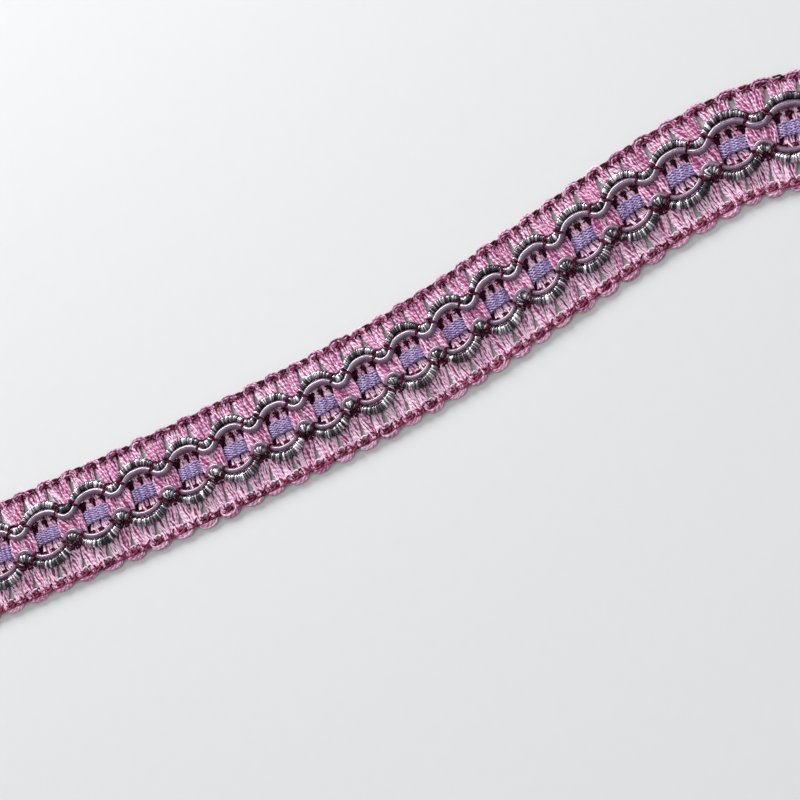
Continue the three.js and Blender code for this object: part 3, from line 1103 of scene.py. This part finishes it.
def dip_stitches(side, out, rng):
    """A short thread along the strip at the outer side of each dip of the cords."""
    repeats = whole_repeats(side)
    t = np.linspace(-1, 1, 11)
    repeat = repeats + DIP_HALF * t + rng.normal(0, 0.01, (len(repeats), 1))
    out = out + rng.normal(0, 0.06, (len(repeats), 1)) + DIP_BEND * t**2
    return lay(repeat, side * out, DIP_HEIGHT - DIP_FALL * t**2)


class BRAID_OT_stitches(bpy.types.Operator):
    """Make the edge chains, the binding threads and the ties over the cords"""
    bl_idname = "braid.stitches"
    bl_label = "Chain and tie stitches"

    def execute(self, context):
        s, c = sizes(), colours()
        rng = np.random.default_rng(s.seed + 3)
        shades = c.plum_dark_and_shade, c.plum, c.plum_light_and_highlight
        thread = floss_finish("stitch_thread", shades, roughness=0.5, sheen=0.0, specular=0.12)
        chain = Skein()
        for side in (-1, 1):
            links = chain_links(side, EDGE_LINKS, rng)
            # The lower chain gets a lighter tone than the upper one: painted light.
            tone = tones(rng, "upper chain" if side > 0 else "lower chain", len(links))
            chain.add(links, s.chain / 2, sides=7, tone=tone, closed=True)
            # A dark thread under the links: painted shade in their openings.
            out, height, radius, tone = CHAIN_SHADE_BED
            chain.add(laid_thread(side, out, height, rng), radius * MM, sides=8, tone=tone)
            feet = foot_stitches(side, rng)
            chain.add(feet, s.chain * 0.42, sides=5, tone=tones(rng, "foot stitch", len(feet)))
        chain.make("edge_chains", thread)
        binding = Skein()
        for side in (-1, 1):
            links = chain_links(side, BINDING_LINKS, rng)
            tone = tones(rng, "binding", len(links))
            binding.add(links, 0.15 * MM, sides=6, tone=tone, closed=True)
            # Dark threads under the binding links: painted shade.
            for out, height, radius, tone in BINDING_SHADE_BEDS:
                binding.add(laid_thread(side, out, height, rng), radius * MM, sides=6, tone=tone)
        binding.make("binding_threads", thread)
        ties = Skein()
        for side in (-1, 1):
            for at in (-TIE_APART, TIE_APART):
                paths = tie_paths(side, at, rng)
                ties.add(paths, s.tie / 2, sides=6, tone=tones(rng, "tie", len(paths)))
            for out in DIP_OUTS:
                paths = dip_stitches(side, out, rng)
                ties.add(paths, s.tie / 2, sides=6, tone=tones(rng, "dip stitch", len(paths)))
        ties.make("cord_ties", thread)
        return {"FINISHED"}


# The stage

def view_axes(stage):
    """The camera's right, up and backward directions in the frame."""
    e, roll = stage.elevation, stage.roll
    level = Vector((1, 0, 0))
    rise = Vector((0, math.sin(e), math.cos(e)))
    back = Vector((0, -math.cos(e), math.sin(e)))
    right = level * math.cos(roll) - rise * math.sin(roll)
    up = level * math.sin(roll) + rise * math.cos(roll)
    turn = Matrix.Rotation(stage.turn, 3, "Z")
    return turn @ right, turn @ up, turn @ back


def area_light(name, direction, distance, size, power, target):
    lamp = bpy.data.lights.new(name, "AREA")
    lamp.shape = "DISK"
    lamp.size = size
    lamp.energy = power
    light = bpy.data.objects.new(name, lamp)
    bpy.context.scene.collection.objects.link(light)
    light.location = target + direction.normalized() * distance
    light.rotation_euler = direction.to_track_quat("Z", "Y").to_euler()


class BRAID_OT_stage(bpy.types.Operator):
    """Make the pale surface, the lights and the camera"""
    bl_idname = "braid.stage"
    bl_label = "Stage"

    def execute(self, context):
        scene = context.scene
        stage = scene.braid_stage
        scene.view_settings.view_transform = "Standard"
        bpy.ops.mesh.primitive_plane_add(size=FLOOR_SIZE, location=(0, 0, -FLOOR_DROP))
        floor = context.object
        floor.name = "surface"
        finish = Finish("surface")
        grain = finish.patches(400.0)
        top = colours().surface
        finish.colour(finish.blend(grain, (shade(top, 0.985), shade(top, 1.01))))
        finish.set({"Roughness": 0.6})
        floor.data.materials.append(finish.material)
        look = Vector((stage.look_along - MIDDLE_X * MM, stage.look_side - MIDDLE_Y * MM, 0))
        right, up, back = view_axes(stage)
        camera = bpy.data.objects.new("camera", bpy.data.cameras.new("camera"))
        scene.collection.objects.link(camera)
        camera.data.lens = stage.lens
        camera.data.sensor_width = SENSOR_WIDTH
        camera.data.clip_start = 0.01
        turned = Matrix((right, up, back)).transposed().to_4x4()
        camera.matrix_world = Matrix.Translation(look + back * stage.distance) @ turned
        scene.camera = camera
        for name, direction, distance, size in LIGHTS:
            area_light(name, Vector(direction), distance, size, getattr(stage, name), look)
        world = bpy.data.worlds.new("studio")
        scene.world = world
        world.use_nodes = True
        background = world.node_tree.nodes["Background"]
        background.inputs["Color"].default_value = (0.95, 0.97, 1.0, 1)
        background.inputs["Strength"].default_value = stage.sky
        return {"FINISHED"}


class BRAID_PT_panel(bpy.types.Panel):
    """Lists the pieces of the braid, with their sizes and colours"""
    bl_idname = "BRAID_PT_panel"
    bl_label = "Gimp braid"
    bl_space_type = "VIEW_3D"
    bl_region_type = "UI"
    bl_category = "Braid"

    def draw(self, context):
        layout = self.layout
        for scene_name, group in GROUPS.items():
            box = layout.box()
            for name in group.__annotations__:
                box.prop(getattr(context.scene, scene_name), name)
        for operator in OPERATORS:
            layout.operator(operator.bl_idname)


OPERATORS = (
    BRAID_OT_stage,
    BRAID_OT_ground,
    BRAID_OT_tape,
    BRAID_OT_satin,
    BRAID_OT_metallic,
    BRAID_OT_stitches,
)
GROUPS = {"braid_sizes": BraidSizes, "braid_colours": BraidColours, "braid_stage": StageSettings}


def register():
    for cls in (*GROUPS.values(), *OPERATORS, BRAID_PT_panel):
        bpy.utils.register_class(cls)
    for name, group in GROUPS.items():
        setattr(bpy.types.Scene, name, PointerProperty(type=group))


def unregister():
    for name in GROUPS:
        delattr(bpy.types.Scene, name)
    for cls in (BRAID_PT_panel, *reversed(OPERATORS), *reversed(GROUPS.values())):
        bpy.utils.unregister_class(cls)


def clear_start_scene():
    for obj in list(bpy.context.scene.objects):
        if obj.name in ("Cube", "Light", "Camera"):
            bpy.data.objects.remove(obj)


def main():
    register()
    clear_start_scene()
    bpy.ops.braid.stage()
    bpy.ops.braid.ground()
    bpy.ops.braid.tape()
    bpy.ops.braid.satin()
    bpy.ops.braid.metallic()
    bpy.ops.braid.stitches()


if __name__ == "__main__":
    main()
